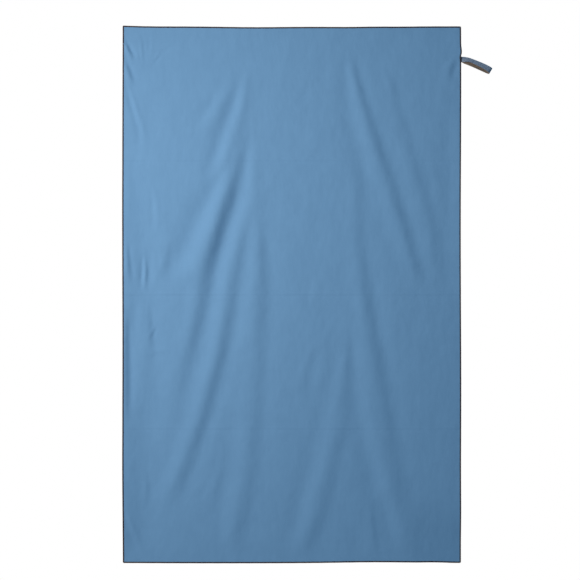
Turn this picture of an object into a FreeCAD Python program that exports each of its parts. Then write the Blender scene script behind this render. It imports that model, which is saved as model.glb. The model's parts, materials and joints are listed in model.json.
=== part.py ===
import FreeCAD, Part
import Sketcher
import os

# A thin microfibre towel that hangs by its top edge: one cloth, an overlocked edge all round,
# and a loop of woven tape on the right edge near the top.
#
# Frame: +X to the towel's right, +Z up, +Y out of the back of the cloth. The origin is on the
# back face, in the middle of the band below the top edge that a clip or a rail holds.
# The cloth folds about the crease across its middle, so it is two halves that meet there.

# Driving dimensions, in millimetres and degrees: alias, value, what it measures.
DIMENSIONS = (
    ("towel_width", 1100.0, "finished width over the edge seams"),
    ("towel_length", 1750.0, "finished length over the edge seams"),
    ("clip_drop", 25.0, "top edge down to the origin"),
    ("cloth_thick", 0.6, "one layer of brushed cloth"),
    ("edge_thick", 0.4, "the same cloth squeezed by the edge seam"),
    ("seam_width", 4.0, "edge seam, from its outer side to its needle line"),
    ("seam_thick", 1.3, "edge seam, front to back"),
    ("seam_wrap", 0.4, "thread outside the cut edge of the cloth"),
    ("seam_clearance", 0.1, "edge seam to the tape that steps over it"),
    ("edge_reveal", 0.3, "squeezed cloth that shows inside the needle line"),
    ("fold_gap_cloth", 3.5, "middle crease to the end of a cloth half"),
    ("fold_gap_seam", 6.2, "middle crease to the end of a side seam"),
    ("tape_width", 20.0, "woven tape of the loop"),
    ("tape_thick", 0.5, "one layer of that tape"),
    ("tape_plane", 0.2, "middle of the loop, behind the back of the cloth"),
    ("loop_drop", 107.0, "top edge down to the middle of the loop's root"),
    ("loop_droop", 23.0, "degrees that the loop hangs below level"),
    ("loop_length", 98.0, "swing line to the loop's tip"),
    ("loop_roll", 20.0, "degrees that the loop's band leans back at its top"),
    ("loop_end_radius", 2.5, "outer radius of the fold at the loop's tip"),
    ("loop_bow_radius", 80.0, "outer radius of the loop's bowed front layer"),
    ("swing_offset", 4.5, "towel's edge to the line that the loop swings about"),
    ("swing_gap", 0.3, "swing line to the loop's first solid"),
    ("shank_length", 13.0, "start of the loop, where its two layers lie together"),
    ("tail_length", 12.0, "tape ends sewn down behind the cloth"),
    ("tail_stub", 2.2, "tape ends that stand out past the edge"),
    ("tail_height", 18.0, "gathered height of the sewn tape ends"),
    ("tail_step", 1.0, "run of each slope where the tape ends climb onto the seam"),
    ("recess_margin", 1.0, "squeezed cloth round the sewn tape ends"),
    ("tack_width", 2.2, "bar tack across the tape ends"),
    ("tack_thick", 0.5, "thread of the bar tack, above what it holds"),
)


def make_sheet(doc):
    """The spreadsheet that every sub-part is bound to."""
    sheet = doc.addObject("Spreadsheet::Sheet", "Sizes")
    for row, (alias, number, meaning) in enumerate(DIMENSIONS, start=1):
        sheet.set(f"A{row}", meaning)
        sheet.set(f"B{row}", str(number))
        sheet.setAlias(f"B{row}", alias)
    doc.recompute()
    return sheet


def new_body(doc, label, place):
    """A body whose Placement's position is bound to the sheet: place has three expressions."""
    body = doc.addObject("PartDesign::Body", label)
    body.Label = label
    for axis, expression in zip("xyz", place):
        body.setExpression(f"Placement.Base.{axis}", expression)
    return body


def new_sketch(body, name, role):
    """An empty sketch on one of the body's own origin planes."""
    sketch = body.newObject("Sketcher::SketchObject", name)
    plane = next(feature for feature in body.Origin.OriginFeatures if feature.Role == role)
    sketch.AttachmentSupport = [(plane, "")]
    sketch.MapMode = "FlatFace"
    return sketch


def pin_corner(sketch, line, corner):
    """Holds the start of a line: a corner is (x, y, x expression, y expression)."""
    x, y, x_expression, y_expression = corner
    axes = (("DistanceX", x, x_expression, -2), ("DistanceY", y, y_expression, -1))
    for kind, start, expression, zero_axis in axes:
        if expression is None:
            sketch.addConstraint(Sketcher.Constraint("PointOnObject", line, 1, zero_axis))
        else:
            index = sketch.addConstraint(Sketcher.Constraint(kind, -1, 1, line, 1, start))
            sketch.setExpression(f"Constraints[{index}]", expression)


def draw_polygon(sketch, corners):
    """A closed outline. An expression of None keeps that coordinate on the sketch's axis."""
    count = len(corners)
    points = [FreeCAD.Vector(x, y, 0) for x, y, _, _ in corners]
    for line in range(count):
        sketch.addGeometry(Part.LineSegment(points[line], points[(line + 1) % count]), False)
    for line in range(count):
        sketch.addConstraint(Sketcher.Constraint("Coincident", line, 2, (line + 1) % count, 1))
    for line, corner in enumerate(corners):
        pin_corner(sketch, line, corner)


def draw_rectangle(sketch, near, far):
    """A rectangle from the corner near to the corner far, each given as in pin_corner."""
    x0, y0, x0_expression, y0_expression = near
    x1, y1, x1_expression, y1_expression = far
    corners = (
        (x0, y0, x0_expression, y0_expression),
        (x1, y0, x1_expression, y0_expression),
        (x1, y1, x1_expression, y1_expression),
        (x0, y1, x0_expression, y1_expression),
    )
    draw_polygon(sketch, corners)


def draw_centred_rectangle(sketch, wide, high):
    """A rectangle about the sketch's origin. wide and high are (start, expression) each."""
    (x, x_size), (y, y_size) = ((start / 2, f"({expression}) / 2") for start, expression in (wide, high))
    draw_rectangle(sketch, (-x, -y, f"-{x_size}", f"-{y_size}"), (x, y, x_size, y_size))


def pad(body, sketch, name, length, symmetric=False):
    """Pads a sketch by a length given as an expression."""
    feature = body.newObject("PartDesign::Pad", name)
    feature.Profile = sketch
    feature.SideType = "Symmetric" if symmetric else "One side"
    feature.setExpression("Length", length)
    return feature


def bind(sketch, constraint, expression):
    """Adds a constraint whose size follows an expression."""
    index = sketch.addConstraint(constraint)
    sketch.setExpression(f"Constraints[{index}]", expression)


def draw_folded_band(sketch, root, layer, end_middle, end_radius, bow_radius):
    """A tape folded in two, seen along its width: a straight layer, a small round end and a bow.

    The straight layer lies on the sketch's X axis and the bowed one under it. Both start at
    the distance root. Each size is (start, expression). The inner outline is the eye: its arcs
    share their middles with the outer ones, and its line is the axis itself.
    """
    tip = FreeCAD.Vector(end_middle[0], layer[0] - end_radius[0], 0)
    foot = FreeCAD.Vector(root[0], -layer[0], 0)
    # the bow's middle is one bow radius from its foot, and the round end touches it from inside
    reach = bow_radius[0] - end_radius[0]
    span = tip.distanceToPoint(foot)
    forward = (tip - foot) / span
    along = (bow_radius[0] ** 2 - reach**2 + span**2) / (2 * span)
    across = (bow_radius[0] ** 2 - along**2) ** 0.5
    middle = foot + forward * along + FreeCAD.Vector(-forward.y, forward.x, 0) * across
    meeting = (tip - middle) / reach
    down = FreeCAD.Vector(0, -1, 0)
    outward = FreeCAD.Vector(1, 0, 0)
    loops = []
    for inset in (0.0, layer[0]):
        height = layer[0] - inset
        far = FreeCAD.Vector(tip.x, height, 0)
        touch = middle + meeting * (bow_radius[0] - inset)
        if inset:
            start_x = middle.x - ((bow_radius[0] - inset) ** 2 - middle.y**2) ** 0.5
            start = heel = FreeCAD.Vector(start_x, height, 0)
        else:
            start = FreeCAD.Vector(root[0], height, 0)
            heel = foot
        line = sketch.addGeometry(Part.LineSegment(start, far), False)
        outermost = tip + outward * (end_radius[0] - inset)
        end = sketch.addGeometry(Part.Arc(far, outermost, touch), False)
        lowest = middle + down * (bow_radius[0] - inset)
        bow = sketch.addGeometry(Part.Arc(touch, lowest, heel), False)
        sketch.addConstraint(Sketcher.Constraint("Horizontal", line))
        # a sketch counts an arc's ends anticlockwise, so these arcs start at their lower ends
        sketch.addConstraint(Sketcher.Constraint("Tangent", line, 2, end, 2))
        sketch.addConstraint(Sketcher.Constraint("Tangent", end, 1, bow, 2))
        loops.append((line, end, bow))
    (line, end, bow), (eye_line, eye_end, eye_bow) = loops
    head = FreeCAD.Vector(root[0], layer[0], 0)
    closing = sketch.addGeometry(Part.LineSegment(foot, head), False)
    for first, first_point, second, second_point in (
        (closing, 1, bow, 1),
        (closing, 2, line, 1),
        (eye_end, 3, end, 3),
        (eye_bow, 3, bow, 3),
        (eye_bow, 1, eye_line, 1),
    ):
        sketch.addConstraint(
            Sketcher.Constraint("Coincident", first, first_point, second, second_point)
        )
    sketch.addConstraint(Sketcher.Constraint("Vertical", closing))
    sketch.addConstraint(Sketcher.Constraint("PointOnObject", eye_line, 1, -1))
    bind(sketch, Sketcher.Constraint("DistanceX", -1, 1, line, 1, root[0]), root[1])
    bind(sketch, Sketcher.Constraint("DistanceY", -1, 1, line, 1, layer[0]), layer[1])
    bind(sketch, Sketcher.Constraint("DistanceY", closing, 1, -1, 1, layer[0]), layer[1])
    bind(sketch, Sketcher.Constraint("DistanceX", -1, 1, end, 3, end_middle[0]), end_middle[1])
    bind(sketch, Sketcher.Constraint("Radius", end, end_radius[0]), end_radius[1])
    bind(sketch, Sketcher.Constraint("Radius", bow, bow_radius[0]), bow_radius[1])


def make_cloth_half(doc, label, upper):
    """Half of the cloth: a full-thickness field, and a squeezed margin under the edge seam.

    Both are drawn from the half's lower left corner, the margin a little thinner on each face.
    The half ends short of the middle crease with no margin there.
    """
    half_height = "Sizes.towel_length / 2 - Sizes.fold_gap_cloth"
    low = (
        "Sizes.clip_drop - Sizes.towel_length / 2 + Sizes.fold_gap_cloth"
        if upper
        else "Sizes.clip_drop - Sizes.towel_length"
    )
    body = new_body(doc, label, ("-Sizes.towel_width / 2", "0", low))
    border = "(Sizes.seam_width + Sizes.edge_reveal)"
    cut = "Sizes.seam_wrap"
    field_x = (4.3, border, 1095.7, f"Sizes.towel_width - {border}")
    cut_x = (0.4, cut, 1099.6, f"Sizes.towel_width - {cut}")
    if upper:
        field_z = (0.0, None, 867.2, f"{half_height} - {border}")
        cut_z = (0.0, None, 871.1, f"{half_height} - {cut}")
    else:
        field_z = (4.3, border, 871.5, half_height)
        cut_z = (0.4, cut, 871.5, half_height)
    field = new_sketch(body, "FieldOutline", "XZ_Plane")
    draw_rectangle(
        field,
        (field_x[0], field_z[0], field_x[1], field_z[1]),
        (field_x[2], field_z[2], field_x[3], field_z[3]),
    )
    pad(body, field, "Field", "Sizes.cloth_thick")
    margin = new_sketch(body, "CutOutline", "XZ_Plane")
    margin.setExpression("AttachmentOffset.Base.z", "(Sizes.cloth_thick - Sizes.edge_thick) / 2")
    draw_rectangle(
        margin,
        (cut_x[0], cut_z[0], cut_x[1], cut_z[1]),
        (cut_x[2], cut_z[2], cut_x[3], cut_z[3]),
    )
    pad(body, margin, "SqueezedMargin", "Sizes.edge_thick")
    return body


def press_tape_recess(doc, body):
    """Presses the back of the upper half under the sewn tape ends, down to the margin's face."""
    doc.recompute()
    before = body.Shape.Volume
    sketch = new_sketch(body, "RecessOutline", "XZ_Plane")
    half_height = "Sizes.towel_length / 2 - Sizes.fold_gap_cloth"
    inner = "Sizes.towel_width - Sizes.tail_length - Sizes.recess_margin"
    outer = "Sizes.towel_width - Sizes.seam_wrap"
    middle = f"{half_height} - Sizes.loop_drop"
    half_span = "(Sizes.tail_height / 2 + Sizes.recess_margin)"
    draw_rectangle(
        sketch,
        (1087.0, 754.5, inner, f"{middle} - {half_span}"),
        (1099.6, 774.5, outer, f"{middle} + {half_span}"),
    )
    recess = body.newObject("PartDesign::Pocket", "TapeRecess")
    recess.Profile = sketch
    recess.Reversed = True
    recess.setExpression("Length", "(Sizes.cloth_thick - Sizes.edge_thick) / 2")
    doc.recompute()
    if body.Shape.Volume >= before:
        raise RuntimeError("the tape recess cuts nothing")


def make_edge_seam(doc, label, place, turn, run):
    """One run of overlock stitching: a channel whose slot holds the squeezed edge of the cloth.

    It is drawn with its outer side on its own YZ plane and its slot open towards +X, and is
    padded along its own Z by run. turn is the rotation that lays it along its edge.
    """
    body = new_body(doc, label, place)
    body.Placement.Rotation = turn
    sketch = new_sketch(body, "ChannelProfile", "XY_Plane")
    lip = "(Sizes.seam_thick - Sizes.edge_thick) / 2"
    corners = (
        (0.0, 0.0, None, None),
        (4.0, 0.0, "Sizes.seam_width", None),
        (4.0, 0.45, "Sizes.seam_width", lip),
        (0.4, 0.45, "Sizes.seam_wrap", lip),
        (0.4, 0.85, "Sizes.seam_wrap", f"{lip} + Sizes.edge_thick"),
        (4.0, 0.85, "Sizes.seam_width", f"{lip} + Sizes.edge_thick"),
        (4.0, 1.3, "Sizes.seam_width", "Sizes.seam_thick"),
        (0.0, 1.3, None, "Sizes.seam_thick"),
    )
    draw_polygon(sketch, corners)
    pad(body, sketch, "Channel", run)
    return body


def make_edge_seams(doc):
    """The six runs: top and bottom full width, and each side in two about the middle crease."""
    front = "-(Sizes.cloth_thick + Sizes.seam_thick) / 2"
    back = "-(Sizes.cloth_thick - Sizes.seam_thick) / 2"
    side_run = "Sizes.towel_length / 2 - Sizes.fold_gap_seam - Sizes.seam_width"
    top = "Sizes.clip_drop"
    bottom = "Sizes.clip_drop - Sizes.towel_length"
    upper_low = "Sizes.clip_drop - Sizes.towel_length / 2 + Sizes.fold_gap_seam"
    lower_low = f"{bottom} + Sizes.seam_width"
    left = "-Sizes.towel_width / 2"
    right = "Sizes.towel_width / 2"
    inward_right = FreeCAD.Rotation()
    inward_left = FreeCAD.Rotation(FreeCAD.Vector(0, 0, 1), 180)
    # the channel's own Z runs along +X, and its depth up from the bottom or down from the top
    along = FreeCAD.Vector(1, 0, 0)
    inward_up = FreeCAD.Rotation(FreeCAD.Vector(0, 0, 1), FreeCAD.Vector(0, -1, 0), along)
    inward_down = FreeCAD.Rotation(FreeCAD.Vector(0, 0, -1), FreeCAD.Vector(0, 1, 0), along)
    return [
        make_edge_seam(doc, "top_edge_seam", (left, front, top), inward_down, "Sizes.towel_width"),
        make_edge_seam(doc, "bottom_edge_seam", (left, back, bottom), inward_up, "Sizes.towel_width"),
        make_edge_seam(doc, "upper_left_edge_seam", (left, front, upper_low), inward_right, side_run),
        make_edge_seam(doc, "upper_right_edge_seam", (right, back, upper_low), inward_left, side_run),
        make_edge_seam(doc, "lower_left_edge_seam", (left, front, lower_low), inward_right, side_run),
        make_edge_seam(doc, "lower_right_edge_seam", (right, back, lower_low), inward_left, side_run),
    ]


def make_loop_tail(doc):
    """The tape's two ends: sewn flat behind the cloth, stepped over the seam, and out past it.

    The profile is drawn from the inner end of the tail, with y = 0 on the squeezed cloth's back,
    except for the stub, whose front lies deeper, level with the loop.
    """
    squeeze = "(Sizes.cloth_thick - Sizes.edge_thick) / 2"
    front = f"(Sizes.tape_thick - Sizes.tape_plane - {squeeze})"
    body = new_body(
        doc,
        "loop_tail",
        (
            "Sizes.towel_width / 2 - Sizes.tail_length",
            f"-({squeeze}) - {front}",
            "Sizes.clip_drop - Sizes.loop_drop - Sizes.tail_height / 2",
        ),
    )
    layers = "2 * Sizes.tape_thick"
    rise = "(Sizes.seam_thick - Sizes.edge_thick) / 2"
    edge = "Sizes.tail_length"
    foot = f"{edge} - Sizes.seam_width"
    sketch = new_sketch(body, "TailProfile", "XY_Plane")
    corners = (
        (0.0, 0.2, None, front),
        (7.9, 0.2, f"{foot} - Sizes.seam_clearance", front),
        (7.9, 0.65, f"{foot} - Sizes.seam_clearance", f"{front} + {rise}"),
        (12.1, 0.65, f"{edge} + Sizes.seam_clearance", f"{front} + {rise}"),
        (12.1, 0.0, f"{edge} + Sizes.seam_clearance", None),
        (14.2, 0.0, f"{edge} + Sizes.tail_stub", None),
        (14.2, 1.0, f"{edge} + Sizes.tail_stub", layers),
        (13.2, 1.0, f"{edge} + Sizes.tail_stub / 2", layers),
        (12.3, 1.65, f"{edge} + 3 * Sizes.seam_clearance", f"{front} + {rise} + {layers}"),
        (7.0, 1.65, f"{foot} - Sizes.tail_step", f"{front} + {rise} + {layers}"),
        (6.0, 1.2, f"{foot} - 2 * Sizes.tail_step", f"{front} + {layers}"),
        (0.0, 1.2, None, f"{front} + {layers}"),
    )
    draw_polygon(sketch, corners)
    pad(body, sketch, "Tail", "Sizes.tail_height")
    return body


def make_hang_loop(doc):
    """The loop: the tape's two layers lie together in a twisted shank, then part round an eye.

    It is drawn about the swing line. The shank starts upright and level at the towel's edge, and
    turns down and back into the plane of the band, whose straight layer is the one behind.
    """
    body = new_body(
        doc,
        "hang_loop",
        (
            "Sizes.towel_width / 2 + Sizes.swing_offset",
            "Sizes.tape_plane",
            "Sizes.clip_drop - Sizes.loop_drop",
        ),
    )
    root = new_sketch(body, "RootSection", "YZ_Plane")
    root.setExpression("AttachmentOffset.Base.z", "Sizes.swing_gap")
    draw_centred_rectangle(root, (1.0, "2 * Sizes.tape_thick"), (18.0, "Sizes.tail_height"))
    parting = new_sketch(body, "PartingSection", "YZ_Plane")
    parting.setExpression(
        "AttachmentOffset",
        "placement(vector(0; -Sizes.shank_length * sin(Sizes.loop_droop * 1 deg);"
        " Sizes.shank_length * cos(Sizes.loop_droop * 1 deg));"
        " rotation(vector(1; 0; 0); Sizes.loop_droop) * rotation(vector(0; 0; 1); -Sizes.loop_roll))",
    )
    draw_centred_rectangle(parting, (1.0, "2 * Sizes.tape_thick"), (20.0, "Sizes.tape_width"))
    shank = body.newObject("PartDesign::AdditiveLoft", "Shank")
    shank.Profile = root
    shank.Sections = [parting]
    shank.Ruled = True
    profile = new_sketch(body, "BandProfile", "XY_Plane")
    profile.setExpression("AttachmentOffset.Rotation.Pitch", "Sizes.loop_droop")
    profile.setExpression("AttachmentOffset.Rotation.Roll", "-Sizes.loop_roll")
    draw_folded_band(
        profile,
        (13.0, "Sizes.shank_length"),
        (0.5, "Sizes.tape_thick"),
        (95.5, "Sizes.loop_length - Sizes.loop_end_radius"),
        (2.5, "Sizes.loop_end_radius"),
        (80.0, "Sizes.loop_bow_radius"),
    )
    pad(body, profile, "Band", "Sizes.tape_width", symmetric=True)
    return body


def make_loop_bartack(doc):
    """The bar tack: a ridge of thread on the tape ends behind, and one on the seam in front."""
    low = "Sizes.clip_drop - Sizes.loop_drop - Sizes.tail_height / 2"
    seam_front = "-(Sizes.cloth_thick + Sizes.seam_thick) / 2"
    tail_back = "(Sizes.seam_thick - Sizes.cloth_thick) / 2 + 2 * Sizes.tape_thick"
    inner = "Sizes.towel_width / 2 - Sizes.seam_width / 2 - Sizes.tack_width / 2"
    ridges = []
    for name, depth in (("FrontRidge", f"{seam_front} - Sizes.tack_thick"), ("BackRidge", tail_back)):
        ridge = doc.addObject("Part::Box", name)
        ridge.setExpression("Length", "Sizes.tack_width")
        ridge.setExpression("Width", "Sizes.tack_thick")
        ridge.setExpression("Height", "Sizes.tail_height")
        ridge.setExpression("Placement.Base.x", inner)
        ridge.setExpression("Placement.Base.y", depth)
        ridge.setExpression("Placement.Base.z", low)
        ridges.append(ridge)
    tack = doc.addObject("Part::Compound", "loop_bartack")
    tack.Label = "loop_bartack"
    tack.Links = ridges
    return tack


def check(doc, subparts):
    """Stops with a plain message if anything in the document failed or a shape is unusable."""
    for item in doc.Objects:
        if "Invalid" in item.State or "Error" in item.State:
            raise RuntimeError(f"{item.Label} failed: {item.State}")
    for item in subparts:
        if item.Shape.isNull() or not item.Shape.isValid():
            raise RuntimeError(f"{item.Label} has no valid shape")


def main():
    doc = FreeCAD.newDocument("QuickDryTowel")
    make_sheet(doc)
    upper = make_cloth_half(doc, "upper_cloth", upper=True)
    press_tape_recess(doc, upper)
    lower = make_cloth_half(doc, "lower_cloth", upper=False)
    subparts = [upper, lower, *make_edge_seams(doc)]
    subparts += [make_loop_tail(doc), make_hang_loop(doc), make_loop_bartack(doc)]
    doc.recompute()
    check(doc, subparts)
    os.makedirs("parts", exist_ok=True)
    for item in subparts:
        item.Shape.exportStep(f"parts/{item.Label}.step")


main()
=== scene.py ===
"""Looks of the quick dry towel: one hung sheet of brushed microfibre with long soft folds, a dark
overlocked edge stitched in real threads, and a woven tape loop sewn to the right edge.

Lengths are in metres. The flat cloth has its own coordinates: across, from its left cut edge,
and down, from its top cut edge. The front of the towel faces -Y.
"""

import json
import math

import bpy
import numpy as np
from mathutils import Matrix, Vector


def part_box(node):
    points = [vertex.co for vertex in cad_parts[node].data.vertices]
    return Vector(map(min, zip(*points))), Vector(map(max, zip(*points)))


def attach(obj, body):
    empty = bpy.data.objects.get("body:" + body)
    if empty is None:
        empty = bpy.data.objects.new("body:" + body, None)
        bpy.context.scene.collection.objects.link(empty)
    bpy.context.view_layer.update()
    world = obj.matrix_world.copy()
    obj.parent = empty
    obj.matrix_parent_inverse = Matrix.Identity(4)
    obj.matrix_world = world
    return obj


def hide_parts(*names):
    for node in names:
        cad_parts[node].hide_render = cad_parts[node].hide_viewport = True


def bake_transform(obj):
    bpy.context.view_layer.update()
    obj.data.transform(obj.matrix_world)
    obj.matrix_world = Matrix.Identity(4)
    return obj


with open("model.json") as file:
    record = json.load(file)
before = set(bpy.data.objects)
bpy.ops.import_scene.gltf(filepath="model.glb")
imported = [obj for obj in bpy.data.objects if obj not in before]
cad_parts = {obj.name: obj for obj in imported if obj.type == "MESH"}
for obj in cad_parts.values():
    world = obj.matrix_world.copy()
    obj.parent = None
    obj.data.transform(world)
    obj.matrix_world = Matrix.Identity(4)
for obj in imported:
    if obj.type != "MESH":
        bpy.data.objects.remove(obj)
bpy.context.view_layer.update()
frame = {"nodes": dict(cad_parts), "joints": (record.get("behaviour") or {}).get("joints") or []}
MM = 0.001
FRONT = -1.0  # the way the towel faces, along Y

# ---------------------------------------------------------------- places, all from the frame
CLOTH_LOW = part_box("lower_cloth")[0]
CLOTH_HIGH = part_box("upper_cloth")[1]
CLOTH_WIDTH = CLOTH_HIGH.x - CLOTH_LOW.x
CLOTH_LENGTH = CLOTH_HIGH.z - CLOTH_LOW.z
CLOTH_THICK = CLOTH_HIGH.y - CLOTH_LOW.y
CLOTH_MIDDLE_Y = (CLOTH_HIGH.y + CLOTH_LOW.y) / 2
SEAM_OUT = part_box("top_edge_seam")[1].z - CLOTH_HIGH.z
SEAM_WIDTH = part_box("top_edge_seam")[1].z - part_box("top_edge_seam")[0].z
JOINTS = {joint["name"]: joint for joint in frame["joints"]}
ROOT_Z = JOINTS["loop_swing"]["pos_m"][2]
EDGE_X = CLOTH_HIGH.x + SEAM_OUT


# ---------------------------------------------------------------- mesh helpers
def add_mesh(name, points, faces, material, smooth=True):
    """A new object from an array of points and a list or array of faces."""
    mesh = bpy.data.meshes.new(name)
    faces = faces.tolist() if isinstance(faces, np.ndarray) else faces
    mesh.from_pydata(np.asarray(points, float).tolist(), [], faces)
    mesh.polygons.foreach_set("use_smooth", [smooth] * len(mesh.polygons))
    mesh.materials.append(material)
    mesh.update()
    piece = bpy.data.objects.new(name, mesh)
    bpy.context.scene.collection.objects.link(piece)
    return piece


def unit(vectors):
    return vectors / np.maximum(np.linalg.norm(vectors, axis=-1, keepdims=True), 1e-12)


def smooth_line(points, spacing):
    """Points along a Catmull-Rom curve through the given ones, about spacing apart."""
    p = np.asarray(points, float)
    p = np.vstack([2 * p[0] - p[1], p, 2 * p[-1] - p[-2]])
    out = []
    for a, b, c, d in zip(p[:-3], p[1:-2], p[2:-1], p[3:]):
        count = max(2, int(np.linalg.norm(c - b) / spacing))
        t = np.linspace(0, 1, count, endpoint=False)[:, None]
        out.append(
            0.5 * (2 * b + (c - a) * t + (2 * a - 5 * b + 4 * c - d) * t**2 + (3 * b - a - 3 * c + d) * t**3)
        )
    return np.vstack([*out, p[-2:-1]])


def travelled_along(line):
    """How far along the line each of its points is."""
    return np.concatenate([[0], np.cumsum(np.linalg.norm(np.diff(line, axis=0), axis=1))])


def tube_faces(rings, sides, closed=False):
    """Faces of a tube of rings of sides points each: closed on itself, or capped at both ends."""
    ring = np.arange(rings if closed else rings - 1)[:, None]
    side = np.arange(sides)[None, :]
    after = (ring + 1) % rings
    beside = (side + 1) % sides
    quads = np.stack(
        [ring * sides + side, ring * sides + beside, after * sides + beside, after * sides + side], axis=-1
    )
    faces = quads.reshape(-1, 4).tolist()
    if not closed:
        faces.append(list(range(sides))[::-1])
        faces.append([(rings - 1) * sides + i for i in range(sides)])
    return faces


def smoothstep(low, high, value):
    """From 0 at low to 1 at high, level at both ends."""
    t = np.clip((value - low) / (high - low), 0, 1)
    return t * t * (3 - 2 * t)


def bell(value, centre, width):
    """A rounded bump of height 1 about the centre."""
    return np.exp(-(((value - centre) / width) ** 2))


def slope(share):
    """An odd bump: 0 in the middle, 1 at a share of 1, -1 at -1, and back to 0 beyond them."""
    return share * np.exp(0.5 - 0.5 * share**2)


def fading(distance, reach):
    """From 1 at no distance towards 0 beyond the reach."""
    return np.exp(-distance / reach)


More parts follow.
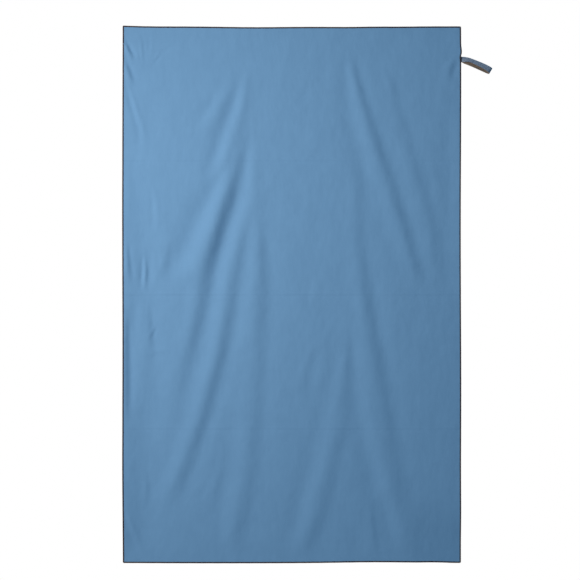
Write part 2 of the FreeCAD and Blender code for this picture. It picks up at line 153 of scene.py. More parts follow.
# ---------------------------------------------------------------- the cloth's relief
# Each flank of a fold is a line, followed down the cloth, where the front rises (+) or falls (-)
# from left to right; the few lines that run across rise from below to above. Each has its heights
# in mm, spread evenly along it, its half-width in mm, and its points, as metres right of the
# middle and metres down.
FLANKS = (
    # short folds from the upper left
    ((0.8, 1.7, 2.6), 22, ((-0.205, 0.165), (-0.255, 0.260), (-0.316, 0.370))),
    ((-0.6, -0.8, -0.9), 19, ((-0.176, 0.160), (-0.223, 0.280), (-0.275, 0.395))),
    ((1.5, 3.8, 4.6, 4.0), 20, ((-0.150, 0.120), (-0.177, 0.260), (-0.237, 0.435), (-0.280, 0.540))),
    # the strongest fold, curving out to the left edge
    ((2.4, 4.8, 5.2, 5.4), 30, ((-0.202, 0.420), (-0.228, 0.510), (-0.303, 0.686), (-0.390, 0.870))),
    (
        (-1.2, -3.0, -5.0, -6.2, -4.2, -3.4, -2.2, -1.2),
        25,
        (
            (-0.144, 0.320),
            (-0.174, 0.480),
            (-0.226, 0.640),
            (-0.270, 0.800),
            (-0.294, 0.930),
            (-0.348, 1.120),
            (-0.385, 1.270),
        ),
    ),
    # the ridge beside it
    (
        (1.5, 2.5, 2.5, 1.9, 1.6, 1.4, 1.6, 1.6),
        26,
        (
            (-0.134, 0.360),
            (-0.155, 0.566),
            (-0.197, 0.690),
            (-0.239, 0.880),
            (-0.273, 1.078),
            (-0.331, 1.267),
            (-0.440, 1.580),
        ),
    ),
    # the long fold that runs to the lower left
    (
        (-0.6, -1.8, -2.6, -3.8, -3.8, -2.7, -2.2),
        23,
        ((-0.140, 0.590), (-0.184, 0.827), (-0.216, 1.022), (-0.296, 1.316), (-0.405, 1.600)),
    ),
    (
        (0.6, 1.1, 0.9, 1.0, 2.2, 2.2),
        28,
        ((-0.120, 0.560), (-0.145, 0.827), (-0.178, 1.100), (-0.178, 1.381), (-0.228, 1.745)),
    ),
    (
        (-1.6, -2.8, -2.2, -1.8, -1.5, -1.5),
        26,
        ((-0.094, 0.600), (-0.095, 0.908), (-0.101, 1.120), (-0.134, 1.486), (-0.204, 1.745)),
    ),
    # the long fold on the right
    (
        (1.2, 2.0, 2.0, 1.5, 0.9),
        26,
        ((0.175, 0.060), (0.210, 0.279), (0.246, 0.435), (0.288, 0.560), (0.356, 0.760)),
    ),
    (
        (-1.5, -2.6, -2.2, -2.4, -2.5),
        20,
        ((0.185, 0.060), (0.237, 0.256), (0.294, 0.419), (0.346, 0.572), (0.440, 0.890)),
    ),
    (
        (-0.7, -1.3, -1.6, -1.2),
        21,
        ((0.302, 0.100), (0.354, 0.279), (0.382, 0.386), (0.454, 0.631), (0.483, 0.820)),
    ),
    # the fold down the middle right
    (
        (-0.6, -1.2, -2.3, -3.4, -3.4, -2.2, -1.2, -0.6),
        24,
        (
            (0.214, 0.350),
            (0.222, 0.663),
            (0.247, 0.876),
            (0.264, 1.000),
            (0.295, 1.143),
            (0.332, 1.350),
            (0.372, 1.600),
        ),
    ),
    ((1.0, 2.4, 3.6, 3.2), 27, ((0.198, 0.960), (0.240, 1.251), (0.274, 1.430), (0.366, 1.745))),
    # the lower middle fold, leaning the other way
    (
        (0.7, 2.0, 2.5, 2.4),
        26,
        ((0.180, 0.990), (0.130, 1.218), (0.097, 1.381), (0.053, 1.544), (-0.006, 1.745)),
    ),
    (
        (-0.5, -0.9, -1.1, -1.9),
        21,
        ((0.188, 0.990), (0.183, 1.234), (0.157, 1.365), (0.102, 1.580), (0.042, 1.748)),
    ),
    # faint ones in between
    ((-0.7, -1.1, -1.4, -0.8), 19, ((0.100, 1.000), (0.062, 1.090), (0.048, 1.160), (0.044, 1.240))),
    ((0.2, 0.4, 0.2), 16, ((0.070, 0.150), (0.052, 0.230), (0.048, 0.290))),
    ((0.3, 0.6, 0.5), 14, ((0.072, 0.780), (0.062, 0.870), (0.048, 0.960))),
    ((-0.5, -0.8, -0.5), 14, ((-0.215, 1.350), (-0.232, 1.470), (-0.290, 1.630))),
    ((-0.4, -1.0, -1.8), 15, ((0.254, 1.530), (0.266, 1.640), (0.278, 1.748))),
    # wrinkles along the left edge, broken off at the middle crease
    ((1.2, 2.0, 1.4, 0.8), 10, ((-0.547, 0.150), (-0.511, 0.270), (-0.489, 0.350), (-0.486, 0.450))),
    ((0.4, 0.9, 1.0), 12, ((-0.464, 0.480), (-0.447, 0.580), (-0.442, 0.690))),
    ((-0.8, -1.6, -1.9, -1.2), 10, ((-0.533, 0.670), (-0.531, 0.735), (-0.526, 0.795), (-0.522, 0.865))),
    ((0.5, 1.7, 2.4, 1.8), 9, ((-0.484, 0.725), (-0.482, 0.780), (-0.484, 0.830), (-0.487, 0.875))),
    ((-0.4, -1.1, -1.3), 8, ((-0.477, 0.735), (-0.4695, 0.790), (-0.474, 0.860))),
    ((0.4, 0.8, 1.0), 14, ((-0.455, 0.725), (-0.451, 0.800), (-0.454, 0.870))),
    ((-0.6, -1.4, -1.6), 19, ((-0.392, 0.670), (-0.405, 0.765), (-0.431, 0.860))),
    # and the left edge below that crease
    ((1.2, 2.8, 3.0, 2.4, 1.0), 26, ((-0.494, 0.840), (-0.500, 0.960), (-0.502, 1.150), (-0.500, 1.290))),
    ((-0.8, -2.0, -2.6, -1.6), 11, ((-0.534, 0.900), (-0.535, 1.030), (-0.534, 1.170), (-0.533, 1.330))),
    ((-0.4, -1.0, -1.4, -0.9), 13, ((-0.464, 0.880), (-0.461, 0.950), (-0.456, 1.030), (-0.452, 1.100))),
    ((-0.8, -1.7, -0.9), 8, ((-0.434, 0.968), (-0.452, 1.000), (-0.469, 1.026))),
    ((0.3, 0.9, 0.7, 0.4), 8, ((-0.508, 1.090), (-0.455, 1.070), (-0.400, 1.062), (-0.355, 1.068))),
    ((1.0, 2.2, 2.2), 13, ((-0.552, 1.550), (-0.520, 1.652), (-0.474, 1.745))),
    ((-0.6, -1.2, -0.6), 16, ((-0.480, 1.420), (-0.467, 1.510), (-0.478, 1.600))),
    # crow's feet where the top left corner is held
    ((-1.4, -3.2, -1.8), 11, ((-0.549, 0.036), (-0.532, 0.070), (-0.508, 0.118))),
    ((-1.2, -2.8, -1.6), 13, ((-0.547, 0.100), (-0.529, 0.144), (-0.508, 0.200))),
    ((-0.5, -1.1, -0.6), 9, ((-0.495, 0.010), (-0.485, 0.060), (-0.483, 0.145))),
    ((-0.3, -0.8, -0.4), 8, ((-0.500, 0.060), (-0.498, 0.090), (-0.494, 0.135))),
    ((0.2, 0.5, 0.2), 9, ((-0.452, 0.010), (-0.458, 0.050), (-0.462, 0.115))),
    ((0.4, 0.9, 0.8, 0.4), 8, ((-0.480, 0.077), (-0.445, 0.077), (-0.418, 0.0745), (-0.366, 0.047))),
    ((-0.4, -1.0, -0.6), 8, ((-0.414, 0.072), (-0.436, 0.100), (-0.459, 0.128))),
    # the slow turn of both side edges
    ((0.6, 1.5, 1.5, 1.1, 0.8), 24, ((0.522, 0.220), (0.528, 0.400), (0.528, 0.620), (0.526, 0.950))),
    (
        (-1.5, -4.0, -5.0, -5.0, -4.0),
        48,
        ((-0.518, 0.440), (-0.515, 0.800), (-0.514, 1.100), (-0.513, 1.748)),
    ),
    # and where the loop pulls at the right edge
    ((-0.6, -1.8, -1.4, -0.7), 19, ((0.549, 0.094), (0.531, 0.119), (0.518, 0.142), (0.509, 0.190))),
    ((0.3, 0.5, 0.3), 8, ((0.522, 0.102), (0.500, 0.125), (0.465, 0.152))),
)
FLANK_SAMPLE = 9 * MM  # between the points taken along a line
FLANK_REACH = 4.0  # how far to its sides a flank still lifts the cloth, in half-widths
FLANK_FADE = 130 * MM  # over which each end of a line fades away
FLANK_FADE_SHARE = 0.45  # but no more than this share of a short line
FLANK_TIP = 0.5  # half-width at a line's top, as a share of its full one
FLANK_FLARE = 260 * MM  # over which it widens from that


def nearest_point(spots, line):
    """For each spot, which point of the line is nearest to it."""
    best = np.full(len(spots), np.inf)
    index = np.zeros(len(spots), int)
    for i, point in enumerate(line):
        distance = ((spots - point) ** 2).sum(1)
        closer = distance < best
        best[closer] = distance[closer]
        index[closer] = i
    return index


def flank_relief(x, down, heights, width, points):
    """Height added by one flank: an odd bump across its line, fading at the line's two ends."""
    line = smooth_line(points, FLANK_SAMPLE)
    tangent = unit(np.gradient(line, axis=0))
    travelled = travelled_along(line)
    place = travelled / travelled[-1]
    fade_length = min(FLANK_FADE_SHARE, FLANK_FADE / travelled[-1])
    strength = np.interp(place, np.linspace(0, 1, len(heights)), heights) * MM
    strength *= smoothstep(0.0, fade_length, place) * smoothstep(1.0, 1.0 - fade_length, place)
    widths = width * (FLANK_TIP + (1 - FLANK_TIP) * smoothstep(0.0, FLANK_FLARE, travelled))
    lifted = np.zeros_like(x)
    reach = FLANK_REACH * width
    low, high = line.min(0) - reach, line.max(0) + reach
    near = (x > low[0]) & (x < high[0]) & (down > low[1]) & (down < high[1])
    spots = np.stack([x[near], down[near]], axis=1)
    index = nearest_point(spots, line)
    offset = spots - line[index]
    side = offset[:, 0] * tangent[index, 1] - offset[:, 1] * tangent[index, 0]
    along = offset[:, 0] * tangent[index, 0] + offset[:, 1] * tangent[index, 1]
    share = side / widths[index]
    fade = np.exp(-((along / width) ** 2))
    lifted[near] = strength[index] * fade * slope(share)
    return lifted


RIPPLE_HEIGHT = 0.45 * MM
RIPPLE_PITCH = 46 * MM
RIPPLE_REACH = 14 * MM
END_RIPPLE_HEIGHT = 0.35 * MM
END_RIPPLE_PITCH = 51 * MM
END_RIPPLE_REACH = 12 * MM
CORNER_BACK = 13 * MM


def broad_relief(x, down):
    """The slow sway of the whole sheet, the ripple along its sewn edges and the turned-back corner."""
    sway = 2.2 * MM * np.sin(2.1 * x + 1.3 * down + 0.4) * np.sin(1.9 * down)
    sway += 1.2 * MM * np.sin(5.3 * x - 2.2 * down + 1.7) * smoothstep(0.05, 0.5, down)
    ripple = np.zeros_like(x)
    for distance, start in ((x + CLOTH_WIDTH / 2, 0.3), (CLOTH_WIDTH / 2 - x, 2.1)):
        swell = np.sin(down * 2 * math.pi / RIPPLE_PITCH + start + 1.5 * np.sin(9.0 * down))
        swell *= 0.5 + 0.5 * np.sin(down * 7.0 + 3 * start)
        ripple += RIPPLE_HEIGHT * swell * fading(distance, RIPPLE_REACH)
    for distance, start in ((down, 0.9), (CLOTH_LENGTH - down, 1.6)):
        swell = np.sin(x * 2 * math.pi / END_RIPPLE_PITCH + start + 1.3 * np.sin(8.0 * x))
        ripple += END_RIPPLE_HEIGHT * swell * fading(distance, END_RIPPLE_REACH)
    # the lower right corner turns back to the right of and below a slanting break
    break_down = 1.50 + 0.37 * (x - 0.386)
    corner = np.clip((x - 0.395) / 0.155, 0, 1) * smoothstep(0.0, 0.14, down - break_down)
    return sway + ripple - CORNER_BACK * corner


# each pressed crease: its share of the way down, and its height in mm
CREASES = ((0.25, 0.32), (0.5, 0.35), (0.75, 0.24))
CREASE_WIDTH = 3.6 * MM


def crease_relief(x, down):
    """The pressed creases at a quarter, a half and three quarters of the way down."""
    lifted = np.zeros_like(down)
    for share, height in CREASES:
        above = (share * CLOTH_LENGTH - down) / CREASE_WIDTH
        worn = 0.72 + 0.28 * np.sin(9.0 * x + 17.0 * share) * np.sin(23.0 * x - 11.0 * share)
        lifted += height * MM * worn * slope(above)
    return lifted


def relief(x, down):
    """How far the cloth's middle surface stands out of its flat plane, towards the front."""
    total = broad_relief(x, down) + crease_relief(x, down)
    for heights, width, points in FLANKS:
        total += flank_relief(x, down, heights, width * MM, points)
    return total


HANG_SPREAD = 0.004  # share by which the hung sheet is wider than the cloth was cut


def outline_shift(x, down):
    """Small moves in the cloth's own plane, so that its edges aren't ruled lines."""
    from_left = x + CLOTH_WIDTH / 2
    from_right = CLOTH_WIDTH / 2 - x
    # the top edge sags between its held corners
    sag = np.maximum(np.sin(math.pi * from_left / CLOTH_WIDTH), 0) ** 0.8
    top_z = 1.0 * MM - 2.6 * MM * sag + 0.6 * MM * np.sin(17 * x + 0.5)
    top_z += 2.8 * MM * fading(from_left, 0.11) + 1.4 * MM * bell(x, 0.27, 0.07)
    # the bottom edge waves a little and drops at its right end
    bottom_z = 1.0 * MM * np.sin(4.4 * x - 0.9) + 2.0 * MM * bell(x, 0.26, 0.15)
    bottom_z -= 3.0 * MM * smoothstep(0.45, 0.55, x)
    shift_z = top_z * fading(down, 0.20) + bottom_z * fading(CLOTH_LENGTH - down, 0.15)
    # the right edge bulges above the loop, where the loop's pull gathers it
    bulge = bell(down, 0.082, 0.016) - 0.8 * bell(down, 0.100, 0.008)
    shift_x = 2.2 * MM * bulge * fading(from_right, 0.02)
    shift_x += 0.9 * MM * np.sin(6.1 * down + 0.6) * fading(from_right, 0.05)
    shift_x += 0.8 * MM * np.sin(5.3 * down + 2.0) * fading(from_left, 0.05)
    # the sheet spreads slightly, and its foot hangs a little to the right
    shift_x += HANG_SPREAD * x + 2.2 * MM * smoothstep(1.38, 1.70, down)
    return shift_x, shift_z


# ---------------------------------------------------------------- the hung sheet as a grid
GRID_STEP = 7.4 * MM
FINE_STEP = 4.0 * MM
FINE_LEFT = 0.130
FINE_RIGHT = 0.040
FINE_TOP = 0.140
FINE_BOTTOM = 0.020


def spaced(length, fine_start, fine_end):
    """Places from 0 to length, at the fine step over the two margins and the coarse one between."""
    first = np.linspace(0, fine_start, int(round(fine_start / FINE_STEP)) + 1)
    last = np.linspace(length - fine_end, length, int(round(fine_end / FINE_STEP)) + 1)
    between = length - fine_start - fine_end
    middle = np.linspace(fine_start, length - fine_end, int(round(between / GRID_STEP)) + 1)
    return np.concatenate([first[:-1], middle[:-1], last])


def with_creases(places):
    """The same places, with closer ones about each pressed crease."""
    close = np.linspace(-3, 3, 11) * CREASE_WIDTH
    for share, _ in CREASES:
        crease = share * CLOTH_LENGTH
        places = places[np.abs(places - crease) > close[-1] + FINE_STEP / 3]
        places = np.concatenate([places, crease + close])
    return np.sort(places)


ACROSS = spaced(CLOTH_WIDTH, FINE_LEFT, FINE_RIGHT)
DOWNWARD = with_creases(spaced(CLOTH_LENGTH, FINE_TOP, FINE_BOTTOM))
COLUMNS = len(ACROSS) - 1
ROWS = len(DOWNWARD) - 1


def hung_grid():
    """The cloth's middle surface as (rows, columns, 3): row 0 is the top edge."""
    down, x = np.meshgrid(DOWNWARD, ACROSS - CLOTH_WIDTH / 2, indexing="ij")
    centre_x = (CLOTH_LOW.x + CLOTH_HIGH.x) / 2
    lift = relief(x.ravel(), down.ravel()).reshape(x.shape)
    shift_x, shift_z = outline_shift(x, down)
    return np.stack(
        [centre_x + x + shift_x, CLOTH_MIDDLE_Y + FRONT * lift, CLOTH_HIGH.z - down + shift_z], axis=-1
    )


GRID = hung_grid()


def grid_normals(grid):
    """Unit normals towards the front."""
    across = np.gradient(grid, axis=1)
    upward = -np.gradient(grid, axis=0)
    return unit(np.cross(across, upward))


NORMALS = grid_normals(GRID)


def sample(field, across, down):
    """Bilinear value of a grid field at flat cloth places, also a little past the cut edges."""
    j = np.clip(np.searchsorted(ACROSS, across, side="right") - 1, 0, COLUMNS - 1)
    i = np.clip(np.searchsorted(DOWNWARD, down, side="right") - 1, 0, ROWS - 1)
    t = ((across - ACROSS[j]) / (ACROSS[j + 1] - ACROSS[j]))[..., None]
    s = ((down - DOWNWARD[i]) / (DOWNWARD[i + 1] - DOWNWARD[i]))[..., None]
    top = field[i, j] * (1 - t) + field[i, j + 1] * t
    low = field[i + 1, j] * (1 - t) + field[i + 1, j + 1] * t
    return top * (1 - s) + low * s


def on_cloth(across, down, out):
    """Points at flat cloth places, raised by out above the middle surface, towards the front."""
    return sample(GRID, across, down) + unit(sample(NORMALS, across, down)) * np.asarray(out)[..., None]


# ---------------------------------------------------------------- materials
def new_material(name):
    material = bpy.data.materials.new(name)
    material.use_nodes = True
    nodes = material.node_tree.nodes
    return material, nodes, material.node_tree.links, nodes["Principled BSDF"]


def noise(nodes, links, coordinates, scale, detail=3.0, roughness=0.55):
    node = nodes.new("ShaderNodeTexNoise")
    node.inputs["Scale"].default_value = scale
    node.inputs["Detail"].default_value = detail
    node.inputs["Roughness"].default_value = roughness
    links.new(coordinates, node.inputs["Vector"])
    return node.outputs["Fac"]


def ramp(nodes, links, value, stops):
    node = nodes.new("ShaderNodeValToRGB")
    elements = node.color_ramp.elements
    while len(elements) < len(stops):
        elements.new(0.5)
    for element, (position, colour) in zip(elements, stops):
        element.position = position
        element.color = (*colour, 1.0)
    links.new(value, node.inputs["Fac"])
    return node.outputs["Color"]


def ranged(nodes, links, value, low, high):
    """A noise value stretched to run from low to high."""
    node = nodes.new("ShaderNodeMapRange")
    node.inputs["From Min"].default_value = 0.3
    node.inputs["From Max"].default_value = 0.7
    node.inputs["To Min"].default_value = low
    node.inputs["To Max"].default_value = high
    links.new(value, node.inputs["Value"])
    return node.outputs["Result"]


def bump(nodes, links, height, distance, strength, before=None):
    node = nodes.new("ShaderNodeBump")
    node.inputs["Strength"].default_value = strength
    node.inputs["Distance"].default_value = distance
    links.new(height, node.inputs["Height"])
    if before is not None:
        links.new(before, node.inputs["Normal"])
    return node.outputs["Normal"]


def wave(nodes, links, coordinates, scale, direction, distortion):
    node = nodes.new("ShaderNodeTexWave")
    node.bands_direction = direction
    node.inputs["Scale"].default_value = scale
    node.inputs["Distortion"].default_value = distortion
    links.new(coordinates, node.inputs["Vector"])
    return node.outputs["Fac"]


def object_coordinates(nodes):
    return nodes.new("ShaderNodeTexCoord").outputs["Object"]


def brushed_relief(nodes, links, place, clumps):
    """Bump from coarse to fine: slackness, crumples, clumps of nap, the knit and single fibres."""
    hanging = nodes.new("ShaderNodeMapping")
    hanging.inputs["Scale"].default_value = (1.0, 1.0, 0.6)
    links.new(place, hanging.inputs["Vector"])
    uneven = noise(nodes, links, hanging.outputs["Vector"], 13.0, detail=2.0, roughness=0.5)
    slack = bump(nodes, links, uneven, 0.0032, 1.0)
    crumple = noise(nodes, links, hanging.outputs["Vector"], 42.0, detail=3.0, roughness=0.5)
    crumpled = bump(nodes, links, crumple, 0.0009, 1.0, slack)
    coarse = bump(nodes, links, clumps, 0.0006, 0.25, crumpled)
    wales = wave(nodes, links, place, 330.0, "X", 1.5)
    knitted = bump(nodes, links, wales, 0.00006, 0.5, coarse)
    nap = noise(nodes, links, place, 1900.0, detail=3.0)
    return bump(nodes, links, nap, 0.00022, 0.6, knitted)


def microfibre():
    """Brushed microfibre: a close matte nap over a fine knit, with a faint sheen and mottling."""
    material, nodes, links, shader = new_material("microfibre")
    place = object_coordinates(nodes)
    mottle = noise(nodes, links, place, 14.0, detail=9.0, roughness=0.72)
    shades = ((0.30, (0.153, 0.316, 0.513)), (0.70, (0.164, 0.336, 0.540)))
    links.new(ramp(nodes, links, mottle, shades), shader.inputs["Base Color"])
    clumps = noise(nodes, links, place, 160.0, detail=3.0)
    links.new(brushed_relief(nodes, links, place, clumps), shader.inputs["Normal"])
    links.new(ranged(nodes, links, clumps, 0.85, 0.98), shader.inputs["Roughness"])
    shader.inputs["Specular IOR Level"].default_value = 0.15
    shader.inputs["Sheen Weight"].default_value = 0.25
    shader.inputs["Sheen Roughness"].default_value = 0.45
    shader.inputs["Sheen Tint"].default_value = (0.55, 0.75, 1.0, 1.0)
    return material


def thread(name, dark, light):
    """Spun polyester thread, darker in its hollows."""
    material, nodes, links, shader = new_material(name)
    place = object_coordinates(nodes)
    tone = noise(nodes, links, place, 260.0, detail=3.0)
    links.new(ramp(nodes, links, tone, ((0.35, dark), (0.70, light))), shader.inputs["Base Color"])
    twist = noise(nodes, links, place, 2600.0, detail=1.0)
    links.new(bump(nodes, links, twist, 0.0001, 0.4), shader.inputs["Normal"])
    links.new(ranged(nodes, links, tone, 0.70, 0.52), shader.inputs["Roughness"])
    shader.inputs["Specular IOR Level"].default_value = 0.35
    shader.inputs["Sheen Weight"].default_value = 0.2
    return material


def woven_tape(name, dark, light, fleck):
    """Plain-woven tape: ribs across it, warp along it, and faint flecks of another shade."""
    material, nodes, links, shader = new_material(name)
    along = nodes.new("ShaderNodeUVMap").outputs["UV"]
    ribs = wave(nodes, links, along, 260.0, "X", 0.6)
    warp = wave(nodes, links, along, 420.0, "Y", 0.4)
    mix = nodes.new("ShaderNodeMath")
    mix.operation = "MULTIPLY"
    links.new(ribs, mix.inputs[0])
    links.new(warp, mix.inputs[1])
    dashes = nodes.new("ShaderNodeMapping")
    dashes.inputs["Scale"].default_value = (0.22, 1.0, 1.0)
    links.new(along, dashes.inputs["Vector"])
    tone = noise(nodes, links, dashes.outputs["Vector"], 900.0, detail=4.0, roughness=0.7)
    base = ramp(nodes, links, tone, ((0.34, dark), (0.56, light), (0.80, fleck)))
    links.new(base, shader.inputs["Base Color"])
    links.new(bump(nodes, links, mix.outputs["Value"], 0.0004, 0.7), shader.inputs["Normal"])
    links.new(ranged(nodes, links, tone, 0.80, 0.62), shader.inputs["Roughness"])
    shader.inputs["Specular IOR Level"].default_value = 0.3
    shader.inputs["Sheen Weight"].default_value = 0.15
    return material


CLOTH_MATERIAL = microfibre()
SEAM_MATERIAL = thread("overlock_thread", (0.017, 0.010, 0.013), (0.050, 0.034, 0.042))
# the tack thread is darker than the seam thread: partly its own dark thread, partly painted shade where the
# tape's root meets the edge
TACK_THREAD_AND_SHADE_MATERIAL = thread("tack_thread", (0.010, 0.008, 0.011), (0.038, 0.031, 0.040))
TAPE_OUTSIDE = woven_tape(
    "tape_outside", (0.130, 0.175, 0.250), (0.255, 0.325, 0.430), (0.390, 0.385, 0.360)
)
TAPE_INSIDE = woven_tape(
    "tape_inside", (0.105, 0.074, 0.050), (0.290, 0.222, 0.165), (0.560, 0.420, 0.290)
)


# ---------------------------------------------------------------- the cloth
CORNER_TUCK = 2.2 * MM


def make_cloth():
    """The sheet: a front and a back skin a cloth's thickness apart, closed round the cut edge."""
    half = CLOTH_THICK / 2
    middle = GRID.copy()
    # the sheet's sharp corners are tucked under the seam's rounded ones
    for row, next_row in ((0, 1), (-1, -2)):
        for column, next_column in ((0, 1), (-1, -2)):
            diagonal = GRID[next_row, next_column] - GRID[row, column]
            middle[row, column] += CORNER_TUCK * unit(diagonal)
    front = (middle + NORMALS * half).reshape(-1, 3)
    back = (middle - NORMALS * half).reshape(-1, 3)
    count = (ROWS + 1) * (COLUMNS + 1)
    index = np.arange(count).reshape(ROWS + 1, COLUMNS + 1)
    quads = np.stack([index[:-1, :-1], index[1:, :-1], index[1:, 1:], index[:-1, 1:]], axis=-1).reshape(-1, 4)
    rim = np.concatenate([index[0, :-1], index[:-1, -1], index[-1, :0:-1], index[:0:-1, 0]])
    after = np.roll(rim, -1)
    sides = np.stack([rim, after, after + count, rim + count], axis=-1)
    faces = np.vstack([quads, quads[:, ::-1] + count, sides])
    cloth = add_mesh("towel_cloth", np.vstack([front, back]), faces, CLOTH_MATERIAL)
    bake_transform(cloth)
    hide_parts("upper_cloth", "lower_cloth")
    return cloth


# ---------------------------------------------------------------- the overlocked edge
NEEDLE_LINE = SEAM_WIDTH
CORNER_RADIUS = 3.5 * MM
STITCH = 2.6 * MM
THREAD_RADIUS = 0.26 * MM
THREAD_SIDES = 5
BED_THICK = 0.42 * MM
BED_SIDES = 12


def edge_run(side, spacing=None):
    """Flat places along one edge and the way in from it, as (across, down, in across, in down).

    They stand at the cloth's own grid lines, or spacing apart between the rounded corners.
    """
    horizontal = side in ("top", "bottom")
    length = CLOTH_WIDTH if horizontal else CLOTH_LENGTH
    if spacing:
        count = int(round((length - 2 * CORNER_RADIUS) / spacing))
        travel = np.linspace(CORNER_RADIUS, length - CORNER_RADIUS, count + 1)
    else:
        travel = (ACROSS if horizontal else DOWNWARD)[1:-1]
    fixed = np.full_like(travel, {"top": 0, "left": 0, "bottom": CLOTH_LENGTH, "right": CLOTH_WIDTH}[side])
    inward = np.full_like(travel, 1.0 if side in ("top", "left") else -1.0)
    none = np.zeros_like(travel)
    if horizontal:
        return travel, fixed, none, inward
    return fixed, travel, inward, none


def corner_after(side):
    """The rounded corner that follows a side, going round top, right, bottom, left."""
    corner, start = {
        "top": ((CLOTH_WIDTH - CORNER_RADIUS, CORNER_RADIUS), -90),
        "right": ((CLOTH_WIDTH - CORNER_RADIUS, CLOTH_LENGTH - CORNER_RADIUS), 0),
        "bottom": ((CORNER_RADIUS, CLOTH_LENGTH - CORNER_RADIUS), 90),
        "left": ((CORNER_RADIUS, CORNER_RADIUS), 180),
    }[side]
    turns = np.radians(start + np.array([0, 22.5, 45, 67.5, 90]))
    outward = np.stack([np.cos(turns), np.sin(turns)], axis=1)
    return np.hstack([np.array(corner) + CORNER_RADIUS * outward, -outward])


def make_seam_bed():
    """The mass of thread under the stitches: a flat closed ring round the cut edge."""
    ring = []
    for side, reverse in (("top", False), ("right", False), ("bottom", True), ("left", True)):
        run = np.stack(edge_run(side), axis=1)
        ring.append(run[::-1] if reverse else run)
        ring.append(corner_after(side))
    path = np.vstack(ring)
    inward = unit(path[:, 2:])
    # the section in (inward, out) coordinates: a flat oval with nearly square shoulders
    turn = np.linspace(0, 2 * math.pi, BED_SIDES, endpoint=False)
    middle = (NEEDLE_LINE - SEAM_OUT) / 2
    half_width = (NEEDLE_LINE + SEAM_OUT) / 2
    into = middle - half_width * np.sign(np.cos(turn)) * np.abs(np.cos(turn)) ** 0.5
    out = BED_THICK * np.sign(np.sin(turn)) * np.abs(np.sin(turn)) ** 0.35
    places = path[:, None, :2] + inward[:, None, :] * into[None, :, None]
    points = on_cloth(places[..., 0], places[..., 1], np.broadcast_to(out, places.shape[:2]))
    faces = tube_faces(len(path), BED_SIDES, closed=True)
    bed = add_mesh("edge_seam_bed", points.reshape(-1, 3), faces, SEAM_MATERIAL)
    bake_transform(bed)
    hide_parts(*(node for node in frame["nodes"] if node.endswith("edge_seam")))
    return bed


def thread_tube(points, radius):
    """Rings of points round a thread that follows the given points."""
    along = unit(np.gradient(points, axis=0))
    reference = np.array([0.0, 1.0, 0.0])
    beside = unit(np.cross(along, reference))
    above = np.cross(beside, along)
    turn = np.linspace(0, 2 * math.pi, THREAD_SIDES, endpoint=False)
    cosine, sine = np.cos(turn)[None, :, None], np.sin(turn)[None, :, None]
    offset = beside[:, None, :] * cosine + above[:, None, :] * sine
    return (points[:, None, :] + radius * offset).reshape(-1, 3)


def join_tubes(tubes):
    """One point array and face list for several threads."""
    faces, start = [], 0
    for tube in tubes:
        faces += [[start + i for i in face] for face in tube_faces(len(tube) // THREAD_SIDES, THREAD_SIDES)]
        start += len(tube)
    return np.vstack(tubes), faces


def stitch_thread(side, front):
    """One looper thread along an edge: from the needle line to the edge and back, every stitch."""
    # a stitch has four places: at the needle line, halfway out, round the edge, halfway back
    across, down, in_x, in_y = edge_run(side, STITCH / 4)
    phase = np.arange(len(across)) % 4
    reach = np.choose(phase, (NEEDLE_LINE, 0.45 * NEEDLE_LINE, -SEAM_OUT, 0.35 * NEEDLE_LINE))
    height = np.choose(phase, (0.42, 0.62, 0.10, 0.60)) * MM
    height = height if front else -height
    lean = np.choose(phase, (0.0, 0.2, 0.0, -0.2)) * STITCH
    return on_cloth(
        across + in_x * reach + np.abs(in_y) * lean,
        down + in_y * reach + np.abs(in_x) * lean,
        height,
    )


def needle_stitches(side):
    """The straight line of needle stitches on the front, each a short bar with a dip between."""
    across, down, in_x, in_y = edge_run(side, STITCH / 3)
    phase = np.arange(len(across)) % 3
    height = np.choose(phase, (0.35, 0.62, 0.62)) * MM
    return on_cloth(across + in_x * NEEDLE_LINE, down + in_y * NEEDLE_LINE, height)


def make_seam_threads(side):
    """The stitches along one edge: looper threads in front and behind, and the needle line."""
    lines = [stitch_thread(side, True), stitch_thread(side, False), needle_stitches(side)]
    points, faces = join_tubes([thread_tube(line, THREAD_RADIUS) for line in lines])
    stitches = add_mesh(f"{side}_edge_stitches", points, faces, SEAM_MATERIAL)
    if side == "top":
        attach(stitches, "upper_half")
    elif side == "bottom":
        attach(stitches, "lower_half")
    else:
        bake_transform(stitches)
    return stitches


# ---------------------------------------------------------------- the hang loop
TAPE_WIDTH = 20 * MM
TAPE_THICK = 0.6 * MM
TAPE_SAMPLE = 1.2  # between rings, in the path's own units
TAPE_GATHER = 0.82  # share of its width that the tape keeps under the tack
TAPE_FLAT_FROM, TAPE_FLAT_AT = 2.0, 16.0  # where it starts and ends opening to its full width, in mm
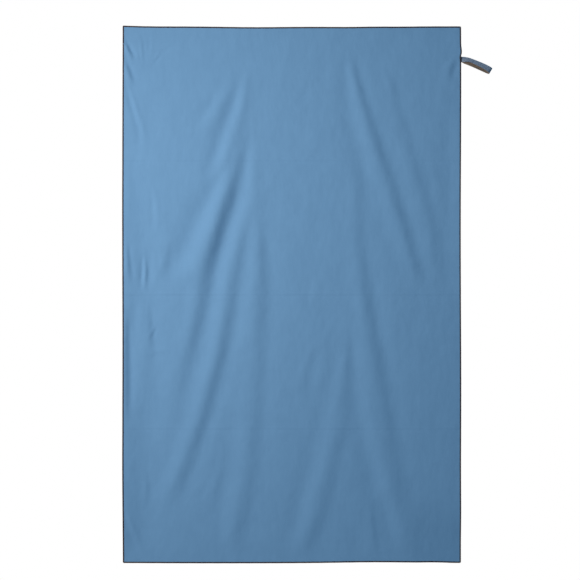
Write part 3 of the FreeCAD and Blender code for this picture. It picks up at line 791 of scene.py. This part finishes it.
# The middle line of the tape as (out from the edge, y, below the root) in mm, with the lean of
# its width from upright: towards +X at the top, and backwards at the top, in degrees.
TAPE_PATH = (
    (-10.0, 0.95, 0.0, 0, 0),
    (-5.0, 1.20, 0.0, 0, 0),
    (-1.0, 1.30, 0.0, 0, 0),
    (2.0, 0.60, 0.0, 0, 3),
    (8.0, 0.10, -0.2, 1, 16),
    (17.0, -0.90, 0.2, 4, 32),
    (25.0, -2.20, 1.2, 9, 38),
    (32.0, -3.90, 3.2, 14, 40),
    (46.0, -8.20, 9.8, 20, 38),
    (63.0, -12.9, 18.2, 25, 33),
    (76.0, -15.4, 25.2, 28, 27),
    (86.0, -16.2, 31.0, 30, 21),
    (93.0, -15.4, 35.4, 32, 16),
    (97.2, -11.4, 38.2, 32, 12),
    (98.4, -6.00, 39.4, 32, 9),
    (98.0, -1.40, 39.6, 32, 9),
    (95.6, 1.40, 39.0, 32, 10),
    (88.0, 2.40, 36.6, 30, 20),
    (72.0, 2.20, 30.2, 26, 28),
    (54.0, 1.80, 22.4, 24, 30),
    (36.0, 1.50, 14.2, 22, 26),
    (20.0, 1.30, 7.0, 18, 16),
    (10.0, 1.20, 2.8, 10, 8),
    (3.0, 1.40, 0.5, 2, 2),
    (-1.0, 1.95, 0.0, 0, 0),
    (-5.0, 1.90, 0.0, 0, 0),
    (-10.5, 1.60, 0.0, 0, 0),
)


def tape_section():
    """Across the tape: (along its width, through its thickness), with slightly thicker selvedges."""
    half = TAPE_WIDTH / 2
    across = np.array([-1.0, -0.985, -0.94, -0.86, -0.5, 0.0, 0.5, 0.86, 0.94, 0.985, 1.0]) * half
    thick = np.array([0.15, 0.85, 1.15, 1.0, 0.9, 0.9, 0.9, 1.0, 1.15, 0.85, 0.15]) * TAPE_THICK / 2
    return across, thick


def tape_rings(across, thick):
    """The tape's section at each sample of its path, as (rings, sides, 3), and its middle line."""
    path = smooth_line(TAPE_PATH, TAPE_SAMPLE)
    centre = np.stack([EDGE_X + path[:, 0] * MM, path[:, 1] * MM, ROOT_Z - path[:, 2] * MM], axis=1)
    lean_x, lean_y = np.radians(path[:, 3]), np.radians(path[:, 4])
    level = np.cos(lean_y)
    width = unit(np.stack([np.sin(lean_x) * level, np.sin(lean_y), np.cos(lean_x) * level], axis=1))
    outside = unit(np.cross(unit(np.gradient(centre, axis=0)), width))
    gather = TAPE_GATHER + (1 - TAPE_GATHER) * smoothstep(TAPE_FLAT_FROM, TAPE_FLAT_AT, path[:, 0])
    middle = centre[:, None, :] + width[:, None, :] * across[None, :, None] * gather[:, None, None]
    proud = outside[:, None, :] * thick[None, :, None]
    return np.concatenate([middle + proud, (middle - proud)[:, ::-1]], axis=1), centre


def unroll_tape(mesh, across, centre):
    """A UV layer in metres: along the tape, then across it."""
    around = np.concatenate([across, across[::-1]])
    travelled = np.repeat(travelled_along(centre), len(around))
    place = np.stack([travelled, np.tile(around, len(centre))], axis=1)
    corner_vertices = np.zeros(len(mesh.loops), int)
    mesh.loops.foreach_get("vertex_index", corner_vertices)
    mesh.uv_layers.new(name="tape").data.foreach_set("uv", place[corner_vertices].ravel())


def make_loop():
    """The folded tape, with both ends sewn behind the towel's edge, as one woven strip."""
    across, thick = tape_section()
    points, centre = tape_rings(across, thick)
    rings, sides = points.shape[:2]
    loop = add_mesh("hang_loop_tape", points.reshape(-1, 3), tube_faces(rings, sides), TAPE_OUTSIDE)
    loop.data.materials.append(TAPE_INSIDE)
    inner_faces = [int(len(across) <= i % sides < sides - 1) for i in range((rings - 1) * sides)]
    end_caps = [0, 0]
    loop.data.polygons.foreach_set("material_index", inner_faces + end_caps)
    unroll_tape(loop.data, across, centre)
    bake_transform(loop)
    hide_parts("hang_loop", "loop_tail")
    return loop


TACK_TURNS = 30
TACK_LOW, TACK_HIGH = -8.8 * MM, 9.4 * MM
TACK_THREAD = 0.3 * MM
TACK_SWELL = 0.12 * MM
TACK_SAMPLE = 1.2 * MM
# the zigzag in front and the one behind, each as (y, inner end, outer end) in mm from the edge
TACK_LAYERS = ((-1.15, -0.9, 4.4), (2.55, -3.4, 0.6))


def make_bartack():
    """The bar tack: a dense zigzag of thread over the tape's root, at the towel's edge, in a thread darker
    than the seam's that is partly painted shade at the root.
    """
    steps = np.arange(TACK_TURNS * 2 + 1)
    height = np.linspace(TACK_LOW, TACK_HIGH, len(steps))
    tubes = []
    for depth, inner, outer in TACK_LAYERS:
        x = EDGE_X + np.where(steps % 2, outer, inner) * MM
        y = depth * MM + TACK_SWELL * np.cos(math.pi * steps)
        line = np.stack([x, y, ROOT_Z + height], axis=1)
        tubes.append(thread_tube(smooth_line(line, TACK_SAMPLE), TACK_THREAD))
    points, faces = join_tubes(tubes)
    tack = add_mesh("loop_bartack_thread", points, faces, TACK_THREAD_AND_SHADE_MATERIAL)
    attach(tack, "upper_half")
    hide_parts("loop_bartack")
    return tack


# ---------------------------------------------------------------- studio
TOWEL_MIDDLE_Z = (CLOTH_LOW.z + CLOTH_HIGH.z) / 2
FLOOR_DROP = 0.80
FLOOR_RADIUS = 3.3
FLOOR_SIDES = 96


def make_floor():
    """A pale round floor well below the hanging towel, out of the front view."""
    low = CLOTH_LOW.z - FLOOR_DROP
    turns = np.linspace(0, 2 * math.pi, FLOOR_SIDES, endpoint=False)
    points = [(FLOOR_RADIUS * math.cos(turn), FLOOR_RADIUS * math.sin(turn), low) for turn in turns]
    material, _, _, shader = new_material("pale_floor")
    shader.inputs["Base Color"].default_value = (0.30, 0.30, 0.30, 1)
    shader.inputs["Roughness"].default_value = 0.9
    shader.inputs["Emission Color"].default_value = (0.80, 0.77, 0.76, 1)
    shader.inputs["Emission Strength"].default_value = 1.0
    floor = add_mesh("pale_floor", points, [tuple(range(len(points)))], material, smooth=False)
    floor.visible_diffuse = False


def add_light(name, place, power, radius, colour, kind="POINT"):
    light = bpy.data.lights.new(name, kind)
    light.energy = power
    light.shadow_soft_size = radius
    light.color = colour
    lamp = bpy.data.objects.new(name, light)
    lamp.location = place
    lamp.visible_camera = False
    bpy.context.scene.collection.objects.link(lamp)
    return lamp


def make_lights():
    """A soft key from the left in front, and a weaker light behind."""
    place = (-1.80, -2.12, TOWEL_MIDDLE_Z + 0.94)
    key = add_light("key", place, 360.0, 0.35, (0.905, 0.805, 0.752), "SPOT")
    key.data.spot_size = math.radians(96)
    key.data.spot_blend = 1.0
    aim = Vector((0.60, 0, TOWEL_MIDDLE_Z - 0.33)) - key.location
    key.rotation_euler = aim.to_track_quat("-Z", "Y").to_euler()
    add_light("back", (1.1, 2.4, TOWEL_MIDDLE_Z + 0.5), 225.0, 0.40, (0.96, 0.83, 0.765))


def make_surround():
    """White where the camera sees it, and a dim cool fill where it lights the towel."""
    world = bpy.data.worlds.new("white_surround")
    bpy.context.scene.world = world
    world.use_nodes = True
    nodes, links = world.node_tree.nodes, world.node_tree.links
    nodes.clear()
    seen = nodes.new("ShaderNodeBackground")
    seen.inputs["Color"].default_value = (1, 1, 1, 1)
    shed = nodes.new("ShaderNodeBackground")
    shed.inputs["Color"].default_value = (0.090, 0.190, 0.265, 1)
    mix = nodes.new("ShaderNodeMixShader")
    rays = nodes.new("ShaderNodeLightPath")
    out = nodes.new("ShaderNodeOutputWorld")
    links.new(rays.outputs["Is Camera Ray"], mix.inputs["Fac"])
    links.new(shed.outputs["Background"], mix.inputs[1])
    links.new(seen.outputs["Background"], mix.inputs[2])
    links.new(mix.outputs["Shader"], out.inputs["Surface"])
    bpy.context.scene.view_settings.view_transform = "Standard"


VIEW_WIDTH = 1.892
VIEW_MOVE_X = -5.5 * MM
VIEW_MOVE_Z = 15.7 * MM
LENS = 85.0
SENSOR = 36.0


def make_camera():
    """Straight on, with the towel a little right of and below the middle of the view."""
    camera = bpy.data.cameras.new("camera")
    camera.lens = LENS
    camera.sensor_width = SENSOR
    holder = bpy.data.objects.new("camera", camera)
    distance = VIEW_WIDTH * LENS / SENSOR
    holder.location = (VIEW_MOVE_X, -distance, TOWEL_MIDDLE_Z + VIEW_MOVE_Z)
    holder.rotation_euler = (math.pi / 2, 0, 0)
    bpy.context.scene.collection.objects.link(holder)
    bpy.context.scene.camera = holder


cloth = make_cloth()
bed = make_seam_bed()
stitches = [make_seam_threads(side) for side in ("top", "bottom", "left", "right")]
make_loop()
make_bartack()
make_floor()
make_lights()
make_surround()
make_camera()
